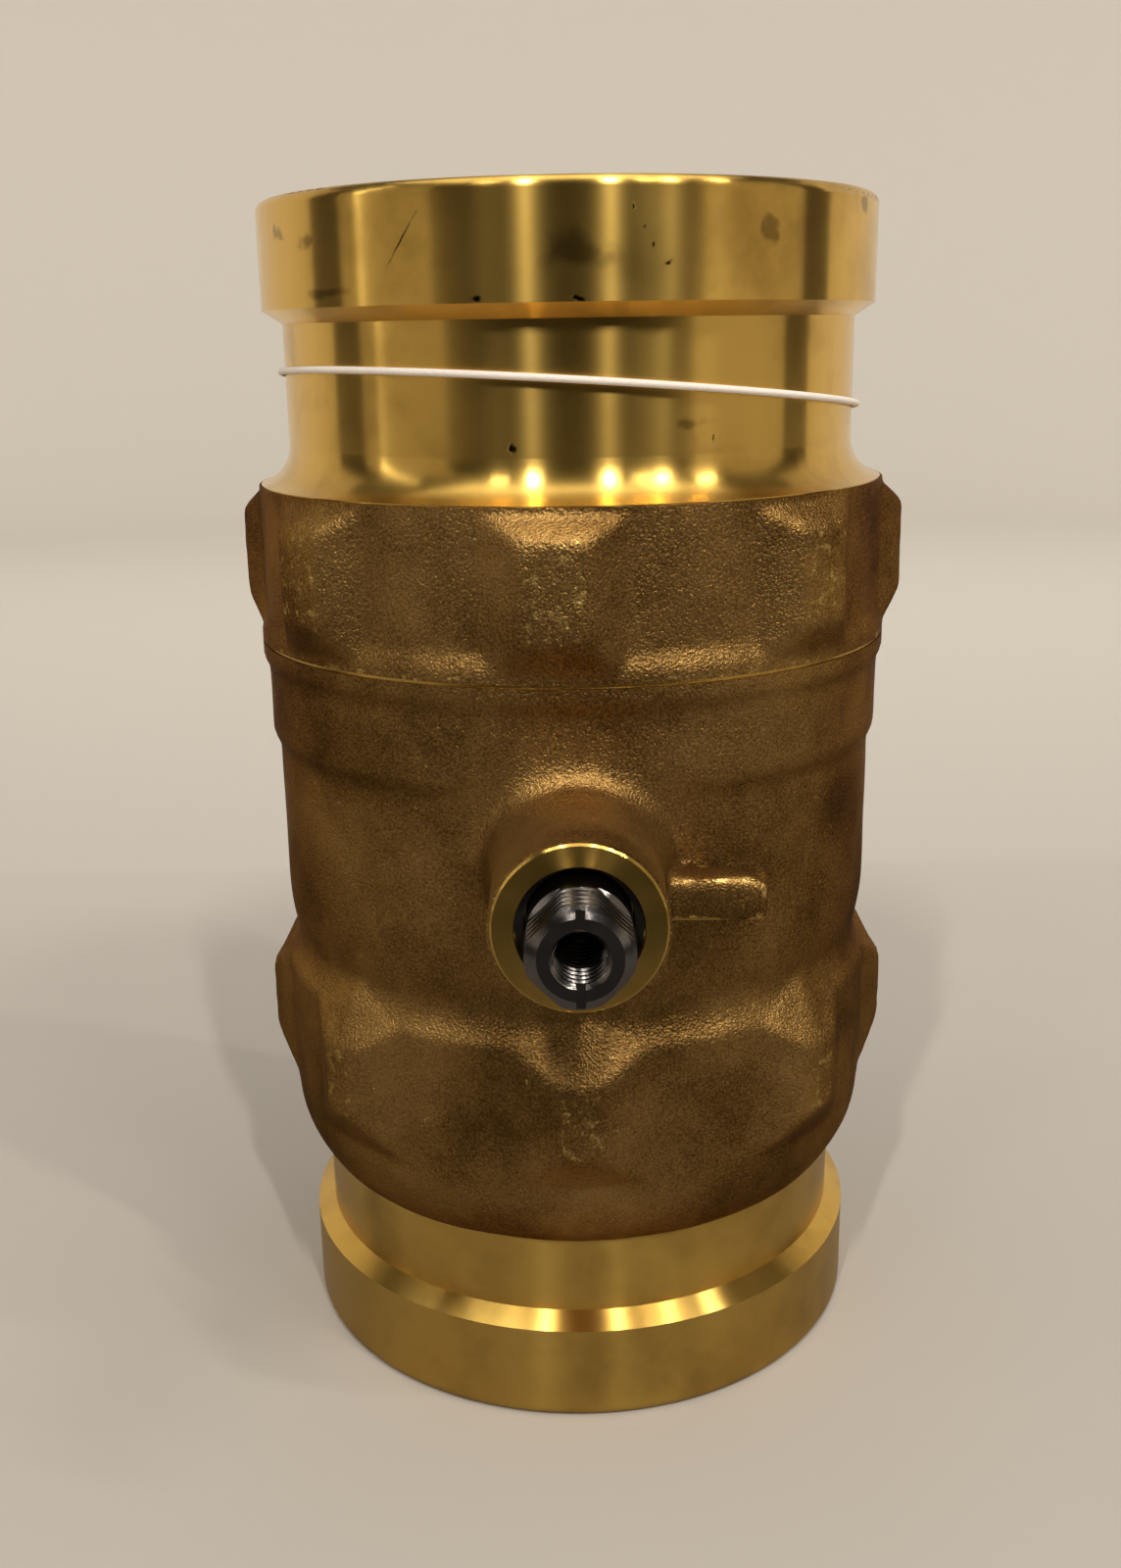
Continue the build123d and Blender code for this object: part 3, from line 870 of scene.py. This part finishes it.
@dataclass
class ThreadedStem:
    """Steel stem with a thread on its corners and in its tapped hole. Sizes are in mm, starts along it."""

    stem_z: float = 91.997
    crest_r: float = 6.9
    root_r: float = 6.02
    pitch: float = 1.5
    thread_start: float = 75.6
    thread_turns: int = 6
    hole_r: float = 3.325
    hole_root_r: float = 3.95
    hole_pitch: float = 1.25
    hole_start: float = 68.9
    hole_turns: int = 12
    steps: int = 40
    flank: float = 30.0
    over_crest: float = 0.25
    under_hole: float = 0.12
    hole_widening: float = 0.06
    crease: float = 25.0

    def frame_matrix(self) -> Matrix:
        """Turn the stem's own axes into the valve's.

        Returns:
            The matrix, which lays the stem's Z out of the boss.
        """
        columns = (Vector((1, 0, 0)), Vector((0, 0, 1)), Vector((0, -1, 0)))
        turn = Matrix(columns).transposed().to_4x4()
        return Matrix.Translation((0, 0, self.stem_z * MM)) @ turn

    def cutter(
        self,
        base_r: float,
        tip_r: float,
        half: float,
        pitch: float,
        start: float,
        turns: int,
    ) -> bpy.types.Object:
        """Helical cutter of triangular section.

        Args:
            base_r: radius of the section's base, in mm.
            tip_r: radius of its tip.
            half: half of the base's width.
            pitch: advance per turn.
            start: reach of its first turn.
            turns: number of turns.

        Returns:
            The cutter, in the valve's frame.
        """
        bpy.ops.object.select_all(action="DESELECT")
        bpy.ops.mesh.primitive_circle_add(vertices=3, radius=MM)
        cutter = bpy.context.view_layer.objects.active
        corners = ((base_r, -half), (base_r, half), (tip_r, 0.0))
        for vert, (radius, along) in zip(cutter.data.vertices, corners):
            vert.co = (radius * MM, 0.0, (start + along) * MM)
        apply_modifier(cutter, "SCREW", axis="Z", screw_offset=pitch * MM, iterations=turns,
                       steps=self.steps, render_steps=self.steps, use_merge_vertices=False)
        bpy.ops.object.mode_set(mode="EDIT")
        bpy.ops.mesh.select_all(action="SELECT")
        bpy.ops.mesh.fill_holes(sides=3)
        bpy.ops.mesh.normals_make_consistent(inside=False)
        bpy.ops.object.mode_set(mode="OBJECT")
        cutter.data.transform(self.frame_matrix())
        return cutter

    def build(self, frame: dict[str, Any]) -> None:
        """Cut both threads in a copy of the stem.

        Args:
            frame: the loaded frame.
        """
        piece = copy_of_node(frame["nodes"]["stem"], "threaded_stem")
        spread = math.tan(math.radians(self.flank))
        outside_r = self.crest_r + self.over_crest
        outside_half = (outside_r - self.root_r) * spread
        inside_r = self.hole_r - self.under_hole
        inside_half = (self.hole_root_r - inside_r) * spread + self.hole_widening
        cutters = (
            self.cutter(outside_r, self.root_r, outside_half, self.pitch, self.thread_start,
                        self.thread_turns),
            self.cutter(inside_r, self.hole_root_r, inside_half, self.hole_pitch, self.hole_start,
                        self.hole_turns),
        )
        for cutter in cutters:
            apply_modifier(piece, "BOOLEAN", operation="DIFFERENCE", solver="EXACT", object=cutter)
            bpy.data.objects.remove(cutter)
        select_only(piece)
        bpy.ops.object.shade_smooth_by_angle(angle=math.radians(self.crease))
        apply_modifier(piece, "WEIGHTED_NORMAL", keep_sharp=True)
        piece.data.materials.append(Trim.STEM_STEEL.value.material())
        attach(piece, "stem_and_ball")
        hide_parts("stem")
        LOG.info("%s: %d faces", piece.name, len(piece.data.polygons))


class SmallPieces:
    """Ball, seats, seals, rings and elastic, which keep their own shapes."""

    def build(self, frame: dict[str, Any]) -> None:
        """Give each small piece its finish.

        Args:
            frame: the loaded frame.
        """
        made: dict[Trim, bpy.types.Material] = {}
        for node, trim in NODE_TRIM.items():
            if trim not in made:
                made[trim] = trim.value.material()
            mesh = frame["nodes"][node].data
            mesh.materials.clear()
            mesh.materials.append(made[trim])
            LOG.info("%s: %s", node, trim.value.name)


@dataclass(frozen=True)
class Lamp:
    """A lamp under the ceiling or beside the valve.

    Azimuth is in degrees from the stem's side, sizes and places are in metres and the power is in watts.
    """

    name: str
    azimuth: float
    distance: float
    height: float
    width: float
    length: float
    power: float
    colour: str = "#fffaf2"
    aim_height: float = 0.09

    def build(self) -> None:
        """Hang the lamp and point it at the middle of the valve."""
        angle = math.radians(self.azimuth)
        place = Vector((self.distance * math.sin(angle), -self.distance * math.cos(angle), self.height))
        light = bpy.data.lights.new(self.name, "AREA")
        light.shape = "RECTANGLE"
        light.size = self.width
        light.size_y = self.length
        light.energy = self.power
        light.color = linear(self.colour)[:3]
        lamp = bpy.data.objects.new(self.name, light)
        lamp.location = place
        aim = Vector((0, 0, self.aim_height)) - place
        lamp.rotation_euler = aim.to_track_quat("-Z", "Y").to_euler()
        bpy.context.scene.collection.objects.link(lamp)


@dataclass(frozen=True)
class Card:
    """A flat cloth card out of the picture, which only metal sees, so that its front and sides go dark.

    Sizes are in metres and turns in degrees.
    """

    name: str
    finish: Trim
    width: float
    length: float
    middle: tuple[float, float, float]
    tilt: float
    turn: float = 0.0

    def build(self) -> None:
        """Set up the card."""
        bpy.ops.object.select_all(action="DESELECT")
        bpy.ops.mesh.primitive_plane_add(size=1.0)
        card = bpy.context.view_layer.objects.active
        card.name = self.name
        card.data.transform(
            Matrix.Translation(self.middle)
            @ Matrix.Rotation(math.radians(self.turn), 4, "Z")
            @ Matrix.Rotation(math.radians(self.tilt), 4, "X")
            @ Matrix.Diagonal((self.width, self.length, 1.0, 1.0)))
        card.visible_camera = False
        card.visible_diffuse = False
        card.visible_shadow = False
        card.data.materials.append(self.finish.value.material())


CARDS = (
    Card("front_curtain", Trim.DARK_CLOTH, 2.60, 1.38, (0.0, -1.15, 0.690), 90.0),
    Card("front_cloth", Trim.DARK_CLOTH, 1.60, 0.93, (0.0, -0.685, 0.0005), 0.0),
    Card("table_cloth", Trim.GREY_CLOTH, 1.60, 0.44, (0.0, 0.0, 0.0005), 0.0),
    Card("left_flag", Trim.DARK_CLOTH, 0.36, 1.20, (-1.30, 0.10, 0.60), 90.0, 90.0),
    Card("right_flag", Trim.DARK_CLOTH, 0.34, 1.20, (1.30, 0.18, 0.60), 90.0, 90.0),
)
LAMPS = (
    Lamp("ceiling_lamp_a", -35.0, 1.45, 1.75, 0.24, 0.24, 2.2),
    Lamp("ceiling_lamp_b", -18.0, 1.45, 1.75, 0.04, 0.34, 14.5),
    Lamp("ceiling_lamp_c", 18.3, 1.45, 1.75, 0.04, 0.34, 14.5),
    Lamp("ceiling_lamp_d", 35.3, 1.45, 1.75, 0.24, 0.24, 3.2),
    Lamp("ceiling_lamp_e", 45.0, 1.45, 1.75, 0.04, 0.34, 8.7),
    Lamp("ceiling_lamp_f", 69.3, 1.45, 1.75, 0.04, 0.34, 5.4),
    Lamp("left_strip", -78.0, 1.15, 0.75, 0.05, 0.90, 0.65),
    Lamp("overhead_softbox", 0.0, 0.03, 1.6, 1.7, 1.3, 12.2),
)


@dataclass
class Studio:
    """Pale sweep, soft light and the camera at the photograph's viewing angle. The sweep is in metres."""

    floor_r: float = 1.8
    floor_sides: int = 128
    wall_height: float = 1.7
    bend: float = 0.6
    bend_steps: int = 24
    world_colour: str = "#d8d3cb"
    world_strength: float = 0.13
    camera_mm: tuple[float, float, float] = (-1.581, -257.432, 164.559)
    pitch: float = 16.058
    roll: float = -0.900
    yaw: float = -0.168
    focal_px: float = 1596.5
    image_height_px: float = 1600.0
    sensor_mm: float = 36.0
    nearest: float = 0.01

    def sweep(self) -> None:
        """Model the round floor that curves up into a wall all round."""
        bpy.ops.object.select_all(action="DESELECT")
        bpy.ops.mesh.primitive_circle_add(vertices=self.floor_sides, radius=self.floor_r, fill_type="NGON")
        sweep = bpy.context.view_layer.objects.active
        sweep.name = "pale_sweep"
        bpy.ops.object.mode_set(mode="EDIT")
        self.select_rim(sweep)
        bpy.ops.mesh.extrude_region_move(TRANSFORM_OT_translate={"value": (0, 0, self.wall_height)})
        self.select_rim(sweep)
        bpy.ops.mesh.bevel(offset=self.bend, segments=self.bend_steps, affect="EDGES")
        bpy.ops.object.mode_set(mode="OBJECT")
        bpy.ops.object.shade_smooth()
        sweep.data.materials.append(GradedPaper("graded_paper_sweep").material())

    def select_rim(self, sweep: bpy.types.Object) -> None:
        """Select the edges round the floor, in edit mode.

        Args:
            sweep: the sweep, in edit mode.
        """
        bpy.ops.mesh.select_mode(type="EDGE")
        bpy.ops.mesh.select_all(action="DESELECT")
        shape = bmesh.from_edit_mesh(sweep.data)
        for edge in shape.edges:
            edge.select = all(abs(v.co.z) < MM for v in edge.verts)
        bmesh.update_edit_mesh(sweep.data)

    def world(self) -> None:
        """Fill the room with a dim even light."""
        world = bpy.data.worlds.new("dim_room")
        world.use_nodes = True
        sky = world.node_tree.nodes["Background"]
        sky.inputs["Color"].default_value = linear(self.world_colour)
        sky.inputs["Strength"].default_value = self.world_strength
        bpy.context.scene.world = world

    def camera(self) -> None:
        """Set the camera where the photograph was taken from."""
        pitch, roll, yaw = (math.radians(a) for a in (self.pitch, self.roll, self.yaw))
        ahead = Vector((math.sin(yaw) * math.cos(pitch), math.cos(yaw) * math.cos(pitch), -math.sin(pitch)))
        level = Vector((math.cos(yaw), -math.sin(yaw), 0.0))
        rise = level.cross(ahead)
        right = math.cos(roll) * level + math.sin(roll) * rise
        up = -math.sin(roll) * level + math.cos(roll) * rise
        turn = Matrix((right, up, -ahead)).transposed().to_4x4()
        lens = bpy.data.cameras.new("photo_camera")
        lens.sensor_fit = "VERTICAL"
        lens.sensor_height = self.sensor_mm
        lens.lens = self.focal_px * self.sensor_mm / self.image_height_px
        lens.clip_start = self.nearest
        camera = bpy.data.objects.new("photo_camera", lens)
        camera.matrix_world = Matrix.Translation(Vector(self.camera_mm) * MM) @ turn
        bpy.context.scene.collection.objects.link(camera)
        bpy.context.scene.camera = camera

    def build(self) -> None:
        """Set up the sweep, lamps, world and camera."""
        self.sweep()
        self.world()
        for lamp in LAMPS:
            lamp.build()
        for card in CARDS:
            card.build()
        self.camera()
        bpy.context.scene.view_settings.view_transform = "Standard"


def main() -> None:
    """Load the frame, dress the valve and set up the studio."""
    logging.basicConfig(level=logging.INFO, format="%(name)s: %(message)s")
    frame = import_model()
    Castings().build(frame)
    ThreadedStem().build(frame)
    SmallPieces().build(frame)
    Studio().build()


if __name__ == "__main__":
    main()
